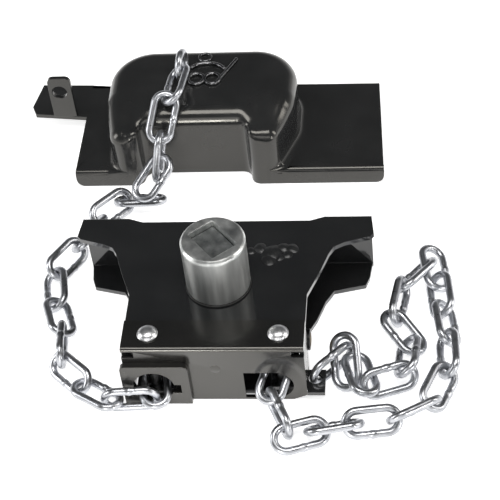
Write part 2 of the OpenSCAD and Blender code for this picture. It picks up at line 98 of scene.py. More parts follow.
# --- Finishes -------------------------------------------------------------


@dataclass(frozen=True)
class Dent:
    """An oval pressed into a front face, in metres: its middle, half sizes and depth."""

    x: float
    z: float
    half_x: float
    half_z: float
    depth: float


class ShaderTree:
    """A short-hand for making one material's nodes and links."""

    def __init__(self, name: str) -> None:
        """Start a material of the given name."""
        self.material = bpy.data.materials.new(name)
        self.material.use_nodes = True
        self.tree = self.material.node_tree
        self.shader = self.tree.nodes["Principled BSDF"]

    def add(self, kind: str, sockets: dict[str, object] | None = None, **values: str) -> bpy.types.Node:
        """Add a node.

        Args:
            kind: The node's type, such as "ShaderNodeTexNoise".
            sockets: Constant values of its inputs by name.
            **values: Its properties by name.

        Returns:
            The new node.
        """
        node = self.tree.nodes.new(kind)
        for key, value in values.items():
            setattr(node, key, value)
        for key, value in (sockets or {}).items():
            node.inputs[key].default_value = value
        return node

    def join(self, source: Socket, target: Socket) -> None:
        """Link one socket to another."""
        self.tree.links.new(source, target)

    def places(self, sockets: dict[str, object]) -> Socket:
        """Object coordinates through a Mapping node with the given inputs."""
        coordinates, mapping = self.add("ShaderNodeTexCoord"), self.add("ShaderNodeMapping", sockets)
        self.join(coordinates.outputs["Object"], mapping.inputs["Vector"])
        return mapping.outputs["Vector"]

    def noise(self, scale: Triple, detail: float = 3.0, rough: float = 0.5) -> Socket:
        """Noise over Object coordinates, stretched by a scale along each axis.

        Args:
            scale: Cycles per metre along X, Y and Z.
            detail: Octaves of the noise.
            rough: Weight of the finer octaves.

        Returns:
            The noise's value, from 0 to 1.
        """
        noise = self.add("ShaderNodeTexNoise", {"Scale": 1.0, "Detail": detail, "Roughness": rough})
        self.join(self.places({"Scale": scale}), noise.inputs["Vector"])
        return noise.outputs["Fac"]

    def spread(self, value: Socket, low: float, high: float) -> Socket:
        """Map noise from NOISE_RANGE on to low..high.

        Args:
            value: The noise.
            low: What the range's lower end becomes.
            high: What its upper end becomes.

        Returns:
            The mapped value.
        """
        start, end = NOISE_RANGE
        sockets = {"From Min": start, "From Max": end, "To Min": low, "To Max": high}
        ranged = self.add("ShaderNodeMapRange", sockets)
        self.join(value, ranged.inputs["Value"])
        return ranged.outputs["Result"]

    def tint(self, value: Socket, dark: Triple, light: Triple) -> None:
        """Mix the base colour between two colours.

        Args:
            value: The mix, from 0 to 1.
            dark: The colour at 0.
            light: The colour at 1.
        """
        mix = self.add("ShaderNodeMix", data_type="RGBA")
        mix.inputs["A"].default_value = (*dark, 1.0)
        mix.inputs["B"].default_value = (*light, 1.0)
        self.join(value, mix.inputs["Factor"])
        self.join(mix.outputs["Result"], self.shader.inputs["Base Color"])

    def bump(self, height: Socket, distance: float) -> bpy.types.Node:
        """A bump node whose height 1 is a distance in metres."""
        bump = self.add("ShaderNodeBump", {"Distance": distance})
        self.join(height, bump.inputs["Height"])
        return bump

    def relief(self, fine: Triple, depth: float, dent: Dent | None) -> None:
        """Give the shader a fine noise relief, laid over a pressed oval if there is one.

        The oval's floor reaches to DENT_FLOOR of its half sizes, and its rim rises smoothly from there.

        Args:
            fine: Cycles per metre of the relief's noise.
            depth: The relief's height in metres.
            dent: The oval pressed into a front face.
        """
        top = self.bump(self.noise(fine, 2.0), depth)
        self.join(top.outputs["Normal"], self.shader.inputs["Normal"])
        if dent is None:
            return
        away = self.add("ShaderNodeVectorMath", operation="LENGTH")
        self.join(self.places({"Location": (-dent.x / dent.half_x, 0.0, -dent.z / dent.half_z),
                               "Scale": (1 / dent.half_x, 0.0, 1 / dent.half_z)}), away.inputs[0])
        rim = self.add("ShaderNodeMapRange", {"From Min": DENT_FLOOR, "From Max": 1.0},
                       interpolation_type="SMOOTHSTEP")
        self.join(away.outputs["Value"], rim.inputs["Value"])
        self.join(self.bump(rim.outputs["Result"], dent.depth).outputs["Normal"], top.inputs["Normal"])


@dataclass(frozen=True)
class Finish:
    """A finish: two mixed colours, two mixed roughnesses and a fine relief.

    Args:
        name: The material's name.
        dark: The darker colour.
        light: The lighter colour.
        roughness: The lowest and highest roughness.
        metallic: 0 for paint and rubber, 1 for bare metal.
        grain: Cycles per metre of the colour's noise along each axis.
        fine: Cycles per metre of the relief's noise along each axis.
        depth: The relief's height in metres.
        gloss: The shader's specular level.
        coat: The clear coat's weight.
        sheen: The tint of what it mirrors.
        dent: An oval pressed into a front face.
    """

    name: str
    dark: Triple
    light: Triple
    roughness: tuple[float, float]
    metallic: float = 0.0
    grain: Triple = (40.0, 40.0, 40.0)
    fine: Triple = (900.0, 900.0, 900.0)
    depth: float = 0.00002
    gloss: float = 0.5
    coat: float = 0.0
    sheen: Triple = (1.0, 1.0, 1.0)
    dent: Dent | None = None

    @lru_cache(maxsize=None)
    def material(self) -> bpy.types.Material:
        """Make the material once and return it."""
        tree = ShaderTree(self.name)
        shader = tree.shader.inputs
        tree.tint(tree.spread(tree.noise(self.grain, 4.0), 0.0, 1.0), self.dark, self.light)
        smear = tree.noise(tuple(SMEAR_SCALE * cycles for cycles in self.grain), 5.0, 0.6)
        tree.join(tree.spread(smear, *self.roughness), shader["Roughness"])
        tree.relief(self.fine, self.depth, self.dent)
        shader["Metallic"].default_value = self.metallic
        shader["Specular IOR Level"].default_value = self.gloss
        shader["Specular Tint"].default_value = (*self.sheen, 1.0)
        shader["Coat Weight"].default_value = self.coat
        shader["Coat Roughness"].default_value = COAT_ROUGHNESS
        return tree.material


WARM = (1.0, 0.965, 0.89)
PAINT = Finish("satin_black_paint", (0.010, 0.0105, 0.011), (0.016, 0.0165, 0.017), (0.06, 0.13),
               grain=(25.0, 25.0, 25.0), fine=(420.0, 420.0, 420.0), depth=0.00001, gloss=0.85, coat=0.3)
FACE_PAINT = replace(PAINT, name="front_face_paint", dark=(0.006, 0.006, 0.006), light=(0.010, 0.010, 0.010),
                     roughness=(0.26, 0.38), gloss=0.8, sheen=WARM)
COVER_PAINT = replace(FACE_PAINT, name="dented_cover_paint", roughness=(0.17, 0.27),
                      dent=Dent(0.047, 0.02, 0.021, 0.028, 0.0012))
HOOD_PAINT = replace(PAINT, name="hood_black_paint", dark=(0.015, 0.0155, 0.016),
                     light=(0.024, 0.0245, 0.025), roughness=(0.12, 0.24), gloss=0.6, coat=0.1, sheen=WARM)
WELD_PAINT = replace(PAINT, name="painted_weld", roughness=(0.28, 0.42), fine=(200.0, 200.0, 200.0),
                     depth=0.0003, gloss=0.5, coat=0.0)
ZINC = Finish("bright_zinc_plate", (0.38, 0.39, 0.41), (0.56, 0.57, 0.60), (0.26, 0.36), metallic=1.0,
              grain=(90.0, 90.0, 90.0), fine=(260.0, 260.0, 260.0), depth=0.000008)
PIN_ZINC = Finish("pin_head_zinc", (0.62, 0.62, 0.63), (0.78, 0.78, 0.79), (0.28, 0.4), metallic=1.0,
                  grain=(300.0, 300.0, 300.0), depth=0.00005)
# The post's colour noise is stretched upright (8 cycles a metre along Z) and spread from dark to light:
# painted reflections and painted shade in upright bands down the turned side, as bright lamps and dark
# surroundings would mirror in it.
TURNED = Finish("turned_post_steel_painted_reflection_bands", (0.26, 0.27, 0.27), (0.80, 0.81, 0.79), (0.28, 0.42), metallic=0.9,
                grain=(85.0, 85.0, 8.0), fine=(700.0, 700.0, 700.0), depth=0.00001)
# The bar down in the post's socket is coloured much darker than the post: painted shade of the deep socket on
# top of the steel's colour.
SOCKET_SHADED_STEEL = Finish("dull_socket_steel_painted_shade", (0.10, 0.108, 0.108), (0.26, 0.27, 0.268), (0.4, 0.55), metallic=0.7,
              grain=(170.0, 170.0, 170.0), depth=0.00008)
DARK = Finish("plain_dark_steel", (0.10, 0.10, 0.105), (0.2, 0.2, 0.205), (0.3, 0.45), metallic=0.9)
BLACKENED = Finish("blackened_lock_steel", (0.02, 0.02, 0.021), (0.045, 0.045, 0.047), (0.3, 0.42),
                   metallic=0.9)
CLIP = Finish("spring_wire", (0.13, 0.13, 0.135), (0.24, 0.24, 0.245), (0.2, 0.32), metallic=1.0)
BRASS = Finish("tarnished_brass", (0.10, 0.075, 0.035), (0.17, 0.13, 0.065), (0.3, 0.42), metallic=1.0)
RUBBER = Finish("black_seal", (0.003, 0.003, 0.003), (0.006, 0.006, 0.006), (0.5, 0.7))


# --- Surfaces -------------------------------------------------------------


def grid_mesh(name: str, grids: Sequence[Array]) -> bpy.types.Mesh:
    """Make a mesh in metres from grids of points in millimetres, each closed round its rows.

    Point (row, column) of a grid is joined to (row, column + 1), where the last column is followed by
    the first, and to (row + 1, column), so that row then column turn anticlockwise.

    Args:
        name: The mesh's name.
        grids: Points as rows by columns by three.

    Returns:
        The mesh, smooth but for edges sharper than SHARP_ANGLE.
    """
    faces, start = [], 0
    for grid in grids:
        rows, columns = grid.shape[:2]
        row, column = np.meshgrid(np.arange(rows - 1), np.arange(columns), indexing="ij")
        after = (column + 1) % columns
        quad = (row, column), (row, after), (row + 1, after), (row + 1, column)
        faces.append(np.stack([(r * columns + c).ravel() for r, c in quad], axis=1) + start)
        start += rows * columns
    data = bpy.data.meshes.new(name)
    points = np.concatenate([grid.reshape(-1, 3) for grid in grids]) * MM
    data.from_pydata(points.tolist(), [], np.concatenate(faces).tolist())
    tidy_mesh(data, GRID_MERGE)
    return data


def tidy_mesh(data: bpy.types.Mesh, merge: float, flatten: bool = False) -> None:
    """Merge doubles, drop faces without area, turn faces outwards and shade smooth.

    Args:
        data: The mesh to tidy.
        merge: How near points are merged, in metres.
        flatten: Whether coplanar faces become one.
    """
    work = bmesh.new()
    work.from_mesh(data)
    bmesh.ops.remove_doubles(work, verts=work.verts, dist=merge)
    bmesh.ops.dissolve_degenerate(work, dist=merge, edges=work.edges)
    if flatten:
        bmesh.ops.dissolve_limit(work, angle_limit=FLAT_ANGLE, verts=work.verts, edges=work.edges)
    else:
        bmesh.ops.recalc_face_normals(work, faces=work.faces)
    work.to_mesh(data)
    work.free()
    data.polygons.foreach_set("use_smooth", [True] * len(data.polygons))
    data.set_sharp_from_angle(angle=SHARP_ANGLE)


def linked(name: str, data: bpy.types.ID) -> bpy.types.Object:
    """Make an object from its data and link it to the scene."""
    thing = bpy.data.objects.new(name, data)
    bpy.context.scene.collection.objects.link(thing)
    return thing


def put(data: bpy.types.Mesh, finish: Finish, body: Body,
        replaces: Iterable[str] = ()) -> bpy.types.Object:
    """Place a finished mesh in the scene as a piece that rides on a body.

    Args:
        data: The mesh, in its place.
        finish: Its finish.
        body: The body it rides on.
        replaces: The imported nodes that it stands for.

    Returns:
        The new piece.
    """
    piece = linked(data.name, data)
    data.materials.clear()
    data.materials.append(finish.material())
    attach(piece, body.value)
    names = tuple(replaces)
    if names:
        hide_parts(*names)
    LOG.info("%s: %d faces", data.name, len(data.polygons))
    return piece


def lathe(profile: Array, centre: Sequence[float], segments: int = 96) -> Array:
    """Turn a profile about an upright axis.

    The point at angle a of a profile point (r, z) is centre + (r cos a, r sin a, z).

    Args:
        profile: Points (radius, height), from the lower end to the upper end.
        centre: The foot of the axis.
        segments: Points around.

    Returns:
        A grid of points.
    """
    angle = np.linspace(0.0, 2 * math.pi, segments, endpoint=False)
    radius, height = profile[:, :1], profile[:, 1:] * np.ones_like(angle)
    grid = np.stack([radius * np.cos(angle), radius * np.sin(angle), height], axis=2)
    return grid + np.asarray(centre, dtype=float)


def arc(centre: Sequence[float], radius: float, start: float, end: float, count: int) -> Array:
    """Points on an arc in a plane, by angle in degrees."""
    angle = np.radians(np.linspace(start, end, count))
    return np.stack([centre[0] + radius * np.cos(angle), centre[1] + radius * np.sin(angle)], axis=1)


def between(start: Sequence[float], end: Sequence[float], share: Array) -> Array:
    """Points from start to end at the given shares."""
    return np.outer(1 - share, start) + np.outer(share, end)


def bell(value: Array, middle: float, width: float) -> Array:
    """A bell curve of height 1: exp(-((value - middle) / width)^2)."""
    return np.exp(-(((value - middle) / width) ** 2))


def circle(radius: float, count: int) -> Array:
    """Points round a circle about the origin."""
    return arc((0.0, 0.0), radius, 0, 360, count + 1)[:-1]


def flat_tube(path: Array, radius: Array | float, closed: bool, sides: int = 16) -> Array:
    """A round tube along a path that lies in the XY plane.

    Each ring is path + r (cos b n + sin b z), with n the path's sideways normal and z up.

    Args:
        path: Points of the centre line as n by two.
        radius: The wire's radius, one number or one a point.
        closed: Whether the path joins its start.
        sides: Points round the wire.

    Returns:
        A grid of points, a ring a row; a closed path repeats its first ring at the end.
    """
    if closed:
        path = np.concatenate([path, path[:1]])
        step = np.roll(path[:-1], -1, axis=0) - np.roll(path[:-1], 1, axis=0)
        step = np.concatenate([step, step[:1]])
        if np.ndim(radius):
            radius = np.concatenate([radius, radius[:1]])
    else:
        step = np.gradient(path, axis=0)
    step /= np.linalg.norm(step, axis=1, keepdims=True)
    normal = np.stack([step[:, 1], -step[:, 0], np.zeros(len(step))], axis=1)
    turn = np.linspace(0.0, 2 * math.pi, sides, endpoint=False)
    size = np.broadcast_to(np.asarray(radius, dtype=float), (len(path),))[:, None, None]
    up = np.array([0.0, 0.0, 1.0])
    around = np.cos(turn)[None, :, None] * normal[:, None] + np.sin(turn)[None, :, None] * up
    return at_height(path, 0.0)[:, None] + size * around


def round_ends(path: Array, radius: float, count: int = 5) -> Pair:
    """Give an open wire rounded ends.

    Args:
        path: The centre line as n by two.
        radius: The wire's radius.
        count: Rings in each end.

    Returns:
        The longer path and the radius at each of its points.
    """
    swing = np.linspace(0.0, math.pi / 2, count + 1)[:-1]
    first, last = path[0] - path[1], path[-1] - path[-2]
    first, last = first / np.linalg.norm(first), last / np.linalg.norm(last)
    reach = radius * np.cos(swing)[:, None]
    head, tail = path[0] + first * reach, (path[-1] + last * reach)[::-1]
    small = np.maximum(radius * np.sin(swing), 1e-3)
    sizes = np.concatenate([small, np.full(len(path), radius), small[::-1]])
    return np.concatenate([head, path, tail]), sizes


def at_height(plan: Array, height: Array | float) -> Array:
    """Plan points with a height, one number or one a point."""
    return np.column_stack([plan, np.broadcast_to(height, (len(plan),))])


def turning(roll: float, pitch: float, yaw: float) -> Array:
    """The matrix that turns about X, then Y, then Z, by angles in degrees."""
    angles = np.radians([roll, pitch, yaw])
    (cos_x, cos_y, cos_z), (sin_x, sin_y, sin_z) = np.cos(angles), np.sin(angles)
    about_x = np.array([[1, 0, 0], [0, cos_x, -sin_x], [0, sin_x, cos_x]])
    about_y = np.array([[cos_y, 0, sin_y], [0, 1, 0], [-sin_y, 0, cos_y]])
    about_z = np.array([[cos_z, -sin_z, 0], [sin_z, cos_z, 0], [0, 0, 1]])
    return about_z @ about_y @ about_x


def finished_copy(node: str, finish: Finish, body: Body, bevel: float,
                  weight: Callable[[Array, Array], Array] | None = None) -> bpy.types.Object:
    """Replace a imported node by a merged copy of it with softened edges.

    Args:
        node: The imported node.
        finish: The copy's finish.
        body: The body it rides on.
        bevel: The width of the softened edges in millimetres.
        weight: Gives each edge's share of the bevel from its two ends, for edges of unlike widths.

    Returns:
        The new piece.
    """
    data = bpy.data.objects[node].data.copy()
    data.name = node + "_finished"
    tidy_mesh(data, NODE_MERGE, flatten=True)
    piece = put(data, finish, body, [node])
    soft = piece.modifiers.new("soft_edges", "BEVEL")
    soft.width, soft.segments = bevel * MM, 3
    soft.limit_method, soft.angle_limit = "ANGLE", SHARP_ANGLE
    soft.use_clamp_overlap = soft.harden_normals = True
    soft.miter_outer = "MITER_ARC"
    if weight is not None:
        points = np.empty(len(data.vertices) * 3)
        data.vertices.foreach_get("co", points)
        ends = np.empty(len(data.edges) * 2, dtype=int)
        data.edges.foreach_get("vertices", ends)
        ends = points.reshape(-1, 3)[ends.reshape(-1, 2)] / MM
        sharp = edge_angles(data) > SHARP_ANGLE
        share = np.where(sharp, weight(ends[:, 0], ends[:, 1]), 0.0)
        data.attributes.new("bevel_weight_edge", "FLOAT", "EDGE").data.foreach_set("value", share)
        soft.limit_method = "WEIGHT"
    return piece


def edge_angles(data: bpy.types.Mesh) -> Array:
    """The angle between each edge's two faces, in radians."""
    work = bmesh.new()
    work.from_mesh(data)
    angles = np.array([edge.calc_face_angle(0.0) for edge in work.edges])
    work.free()
    return angles


# --- Base -----------------------------------------------------------------


@dataclass
class Base:
    """The folded channel, its front cover, the chain plate and the inner plates.

    Args:
        top: Height of the channel's upper face.
        fold: Outer radius of a fold.
        cut: Radius left on a cut edge.
        back: The web's back face beside the joggle.
        fold_half: Half the length of the back's upper fold.
        face: The cover's front face.
        pimple: Left to right place, height and radius of the dot on the cover's face, and how far
            it stands out.
        beads: Place, radius, height and heading of each bead of the plug weld.
    """

    top: float = 53.5
    fold: float = 4.2
    cut: float = 0.4
    back: float = 66.0
    fold_half: float = 112.6
    face: float = -67.0
    pimple: tuple[float, float, float, float] = (0.9, 34.7, 4.4, 0.5)
    beads: tuple[tuple[float, float, float, float, float], ...] = (
        (22, 33, 4.6, 1.6, 20), (29, 35.5, 6.0, 2.3, 50), (38, 31, 9.0, 2.6, -10), (36, 24, 7.0, 1.9, 30),
        (46, 36, 5.6, 2.2, 35), (53, 35, 5.8, 2.1, 75), (50, 29, 5.0, 1.7, 10), (44.5, 26, 4.6, 1.5, -40))

    def channel_share(self, first: Array, second: Array) -> Array:
        """Share of the bevel for each edge of the channel: whole on its folds, small on cut edges.

        Args:
            first: One end of each edge.
            second: Its other end.

        Returns:
            The shares.
        """
        both_top = np.maximum(np.abs(first[:, 2] - self.top), np.abs(second[:, 2] - self.top)) < 0.1
        behind = np.minimum(first[:, 1], second[:, 1]) > self.back - 0.2
        along = np.abs(first[:, 0] - second[:, 0]) > 5.0
        inside = np.maximum(np.abs(first[:, 0]), np.abs(second[:, 0])) < self.fold_half
        return np.where(both_top & behind & along & inside, 1.0, self.cut / self.fold)

    def build(self) -> None:
        """Make the base's plates and inner parts."""
        finished_copy("channel_body", PAINT, Body.BASE, self.fold, self.channel_share)
        finished_copy("front_cover", COVER_PAINT, Body.BASE, self.cut)
        finished_copy("chain_plate", FACE_PAINT, Body.BASE, self.cut)
        for node in ("anchor_tab", "tab_pad", "rib_plates", "lock_bracket"):
            finished_copy(node, PAINT, Body.BASE, self.cut)
        for node in ("core_column", "dog_guide", "guide_screws"):
            finished_copy(node, DARK, Body.BASE, 0.3)
        put(grid_mesh("weld_beads", [self.bead(*bead) for bead in self.beads]),
            WELD_PAINT, Body.BASE, ["plug_weld"])
        put(grid_mesh("cover_pimple", [self.dot()]), FACE_PAINT, Body.BASE)

    def dot(self) -> Array:
        """The small raised dot on the cover's face: a flat dome of radius r and height h.

        At share s of the radius the height is h (1 - s^2), and a short rim goes into the face.

        Returns:
            A grid of points.
        """
        x, z, radius, height = self.pimple
        share = np.array([0.0, 1.0, 0.9, 0.75, 0.5, 0.25, 0.0])
        root = -0.3
        rise = np.where(np.arange(len(share)) < 2, root, height * (1 - share**2))
        upright = lathe(np.stack([radius * share, rise], axis=1), (0.0, 0.0, 0.0), 24)
        return upright @ turning(90, 0, 0).T + np.array([x, self.face, z])

    def bead(self, x: float, y: float, radius: float, height: float, heading: float) -> Array:
        """A bead of the plug weld: a flat dome with ripples across it.

        At share s of its radius the height is h (1 - s^2.2) + ripple, and the ripple is a sine along
        the bead that fades to the rim. The rim wavers twice and three times round.

        Args:
            x: Its middle from left to right.
            y: Its middle from front to back.
            radius: Its radius.
            height: Its height.
            heading: The way that it was laid, in degrees.

        Returns:
            A grid of points.
        """
        sunk, foot, ripple = 0.6, 1.0, 0.09
        share = np.linspace(1.0, 0.0, 14)[:, None]
        angle = np.linspace(0.0, 2 * math.pi, 48, endpoint=False)[None]
        reach = share * radius
        along = reach * np.cos(angle - math.radians(heading))
        wobble = 1 + 0.07 * np.sin(2 * angle + x) + 0.05 * np.sin(3 * angle + y)
        rise = height * (1 - share**2.2) + ripple * np.sin(1.7 * along) * (1 - share**2)
        ring = np.stack([x + reach * wobble * np.cos(angle), y + reach * wobble * np.sin(angle),
                         self.top - sunk + rise * np.ones_like(angle)], axis=2)
        floor = ring[:1].copy()
        floor[..., 2] = self.top - foot
        middle = np.broadcast_to(floor.mean(axis=1, keepdims=True), floor.shape)
        return np.concatenate([middle, floor, ring])


# --- Post and pins --------------------------------------------------------


@dataclass
class Post:
    """The coupler post with its rectangular socket, the bar down it and the seal round its foot.

    Args:
        foot: Height of the post's foot.
        top: Height of its top face.
        radius: Its radius.
        chamfer: Its top chamfer.
        length: The socket's length.
        width: The socket's width.
        depth: The socket's depth.
        turn: The socket's turn in degrees.
        seal: Radius of the seal in its seat round the foot.
    """

    foot: float = 53.5
    top: float = 100.7
    radius: float = 24.0
    chamfer: float = 1.6
    length: float = 31.0
    width: float = 22.0
    depth: float = 40.0
    turn: float = 40.0
    seal: float = 0.9

    def socket_loop(self, clear: float, corner: float, count: int = 24) -> Array:
        """The socket's outline with rounded corners, drawn in by a clearance.

        Args:
            clear: How far the outline is drawn in.
            corner: The corner radius.
            count: Points a corner and points a side.

        Returns:
            Points as n by two, anticlockwise.
        """
        half = np.array([self.width / 2 - clear - corner, self.length / 2 - clear - corner])
        bends = [arc(half * sign, corner, 90 * index, 90 * index + 90, count)
                 for index, sign in enumerate(((1, 1), (-1, 1), (-1, -1), (1, -1)))]
        share = np.linspace(0, 1, count + 2)[1:-1]
        loop = []
        for bend, onward in zip(bends, bends[1:] + bends[:1]):
            loop += [bend, between(bend[-1], onward[0], share)]
        return np.concatenate(loop) @ turning(0, 0, self.turn)[:2, :2].T

    def rings(self) -> Array:
        """The post from its foot up, over its top face and down its socket.

        Each ring has one point for each point of the socket's outline, in the same direction from the
        axis. On the top face, share s of the way in is rim (1 - s) + outline s.

        Returns:
            A grid of points, a ring a row.
        """
        edge, lip = self.socket_loop(0.0, 1.6), self.socket_loop(-0.5, 1.9)
        way = edge / np.linalg.norm(edge, axis=1, keepdims=True)
        seat, seat_top = self.radius - self.seal, self.foot + 2 * self.seal + 0.3
        rim, inner, floor = self.top - self.chamfer, self.radius - self.chamfer, self.top - self.depth
        # Radius and height up the foot and the seal's seat, the side, and the chamfer with softened edges.
        side = [(0.0, self.foot), (seat, self.foot), (seat, seat_top), (self.radius - 0.2, seat_top),
                (self.radius, self.foot + 2.4)]
        side += [(self.radius, height) for height in np.linspace(self.foot + 4, rim - 3, 6)]
        side += [(self.radius, rim - 0.15), (self.radius - 0.1, rim + 0.05), (inner + 0.1, self.top - 0.12),
                 (inner - 0.15, self.top)]
        rings = [at_height(way * radius, height) for radius, height in side]
        rings += [at_height(way * inner * (1 - share) + lip * share, self.top) for share in (0.3, 0.7, 1.0)]
        # The socket's softened mouth, its wall and its floor.
        down = (((lip + 2 * edge) / 3, self.top - 0.15), (edge, self.top - 0.6), (edge, self.top - 6),
                (edge, floor), (way * 0.0, floor))
        return np.stack(rings + [at_height(plan, height) for plan, height in down])

    def build(self) -> None:
        """Make the post, the bar in its socket and the seal round its foot."""
        # The turned finish paints upright bands of reflection and shade on the post's side.
        put(grid_mesh("turned_post", [self.rings()]), TURNED, Body.BASE, ["coupler_post"])
        # The socket's bar takes the darkened finish, which paints the socket's shade on it.
        finished_copy("socket_bar", SOCKET_SHADED_STEEL, Body.BASE, 0.8)
        ring = flat_tube(circle(self.radius, 128), self.seal, True, 14)
        ring = ring + np.array([0, 0, self.foot + self.seal])
        put(grid_mesh("foot_seal", [ring]), RUBBER, Body.BASE, ["post_ring"])


@dataclass
class Pins:
    """The two domed pins through the cover's lap.

    Args:
        across: Distance of each pin from the middle.
        y: Their place from back to front.
        seat: Height that the heads rest on.
        head: Head radius.
        height: Head height.
        shank: Shank radius.
        groove: Radius and lower and upper height of the lock pin's groove.
    """

    across: float = 47.6
    y: float = -52.0
    seat: float = 56.5
    head: float = 7.75
    height: float = 4.6
    shank: float = 4.0
    groove: Triple = (2.8, 33.2, 36.8)

    def profile(self, foot: float, grooved: bool) -> Array:
        """The pin's outline from its foot up to the crown.

        Args:
            foot: Height of the shank's foot.
            grooved: Whether it has the lock's groove.

        Returns:
            Points (radius, height).
        """
        points = [(0.0, foot), (self.shank - 0.5, foot), (self.shank, foot + 0.5)]
        if grooved:
            radius, low, high = self.groove
            points += [(self.shank, low), (radius, low), (radius, high), (self.shank, high)]
        points += [(self.shank, self.seat), (self.head - 0.5, self.seat), (self.head, self.seat + 0.4),
                   (self.head - 0.1, self.seat + 0.9)]
        swing = np.radians(np.linspace(14, 90, 18))
        reach, rise = (self.head - 0.3) * np.cos(swing) ** 0.85, self.height * np.sin(swing)
        dome = np.stack([reach, self.seat + rise], axis=1)
        dome[-1, 0] = 0.0
        return np.concatenate([np.array(points), dome[1:]])

    def build(self) -> None:
        """Make both pins."""
        for name, side, foot, grooved, body in (("left_pin", -1, 0.0, False, Body.BASE),
                                                ("lock_pin", 1, 0.5, True, Body.LIFT_PIN)):
            grid = lathe(self.profile(foot, grooved), (side * self.across, self.y, 0.0))
            put(grid_mesh("domed_" + name, [grid]), PIN_ZINC, body, [name])


@dataclass
class Lock:
    """The key lock and its dog inside the cover."""

    def build(self) -> None:
        """Finish the lock's parts."""
        for node in ("lock_barrel", "barrel_nut"):
            finished_copy(node, BLACKENED, Body.BASE, 0.5)
        finished_copy("key_plug", BRASS, Body.KEY, 0.25)
        finished_copy("cam_crank", ZINC, Body.KEY, 0.3)
        finished_copy("lock_dog", ZINC, Body.DOG, 0.3)


# --- Chains ---------------------------------------------------------------

Place = tuple[float, float, float, float, float, float]


@dataclass
class Chains:
    """The welded link chains.

    A place is x, y, lift, heading, rise and roll; the lift is above the link's lowest resting height,
    or for the hood's links the height of the link's middle.

    Args:
        wire: The wire's radius.
        bend: Radius of a link's two ends.
        step: Distance of each end's centre from the link's middle.
        swell: How far the wire swells at its weld.
        neck: How far it is drawn in beside the weld.
        floor_runs: The links that lie on the floor or in the base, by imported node.
        hood_run: The links on the hood.
    """

    wire: float = 3.0
    bend: float = 9.0
    step: float = 10.5
    swell: float = 0.34
    neck: float = 0.16
    floor_runs: dict[str, tuple[Place, ...]] = field(default_factory=lambda: {
        "right_chain_front": (
            (43.6, -61.6, 9, -110, -24, 0), (47.3, -89.7, 0, -65, -3, 87), (63, -106, 0, 18, 0, 30),
            (87, -100, 0, 12, 0, -45), (114, -95, 0, 8, 0, 45), (144, -85, 0, 30, 0, -58)),
        "right_chain_side": (
            (162, -62, 0, 68, 0, 36), (169, -32, 0, 92, 0, -52), (168, -2, 0, 98, 0, 45),
            (164, 27, 0, 96, 0, -42), (160, 55, 0, 100, 7, 28)),
        "right_chain_end": (
            (145, 45, 2, -129, 1, 47), (133, 17, 1, -100, -3, -72), (136, -11, 1, -52, -14, -13),
            (139, -36, 0, -94, 13, 44), (126, -57, 0, -160, 0, -50), (105, -53, 6, 107, -2, 16),
            (94, -43, 0, -84, -32, 22), (84, -43, 0, -133, 0, 88)),
        "left_chain_front": (
            (-46, -63, 8, -83, -12, 0), (-63, -76.5, 0, 184, 0, 90), (-89, -72, 6, 148, -3, 14),
            (-112, -51, 1, 137, -2, -45), (-122, -25, 0, 97, -9, -88)),
        "left_chain_back": (
            (-129, 6, 1, 110, -5, 31), (-137, 36, 0, 101, 0, -35), (-132, 67, 0, 62, -4, 47),
            (-118, 96, 0, 68, -2, -42), (-103, 124, 0, 50, -3, 46), (-81, 135, 0, 0, 2, -30)),
    })
    hood_run: tuple[Place, ...] = (
        (-50, 199.5, 77, -98, -4, 37), (-59.5, 174, 64, -106, -42, -17),
        (-63.5, 155, 38.5, -106, -62, 81), (-69, 141, 28, -127, -28, -5))

    def link(self, seam: int) -> Array:
        """One link lying along X.

        The wire's centre line is two half circles joined by straight sides. The wire swells at the
        weld in one side by a bell curve, with a shallow neck on each side of the swell.

        Args:
            seam: Which side carries the weld, 1 or -1.

        Returns:
            A grid of points.
        """
        right = arc((self.step, 0.0), self.bend, -90, 90, 33)
        left = arc((-self.step, 0.0), self.bend, 90, 270, 33)
        share = np.linspace(0, 1, 27)[1:-1]
        path = np.concatenate([right, between(right[-1], left[0], share),
                               left, between(left[-1], right[0], share)])
        along = np.where(np.sign(path[:, 1]) == seam, path[:, 0], 1e3)
        swell = self.swell * bell(along, 0.0, 1.5) - self.neck * bell(np.abs(along), 3.4, 1.2)
        return flat_tube(path, self.wire + swell, True, 18)

    def resting(self, rise: float, roll: float) -> float:
        """Height of a link's middle when its lowest point touches the floor."""
        rise, roll = math.radians(rise), math.radians(roll)
        lift, lean = abs(math.sin(rise)), math.cos(rise) * math.sin(roll)
        return self.wire + self.step * lift + self.bend * math.hypot(lift, lean)

    def run(self, places: Iterable[Place], on_floor: bool) -> list[Array]:
        """Place a run of links.

        Args:
            places: Each link's place.
            on_floor: Whether lifts are counted from the floor.

        Returns:
            A grid of points for each link.
        """
        grids = []
        for index, (x, y, lift, heading, rise, roll) in enumerate(places):
            height = lift + (self.resting(rise, roll) if on_floor else 0.0)
            grid = self.link(1 if index % 2 else -1) @ turning(roll, -rise, heading).T
            grids.append(grid + np.array([x, y, height]))
        return grids

    def build(self) -> None:
        """Make every run of links."""
        for node, places in self.floor_runs.items():
            put(grid_mesh(node + "_links", self.run(places, True)), ZINC, Body.BASE, [node])
        put(grid_mesh("hood_chain_links", self.run(self.hood_run, False)),
            ZINC, Body.HOOD, ["hood_chain"])


# --- Hood -----------------------------------------------------------------


def smooth_step(value: Array, start: float, end: float) -> Array:
    """0 at start, 1 at end, with level ends: 3 s^2 - 2 s^3 of the clipped share s."""
    share = np.clip((value - start) / (end - start), 0.0, 1.0)
    return share * share * (3 - 2 * share)


class Edge(Enum):
    """What the hood's outer edge is along a stretch."""

    FLANGE = "folded down to the floor"
    CUT = "bare edge of the plate"
    CAP = "end of a flange"
    NONE = "no plate: the dome's own wall runs down"


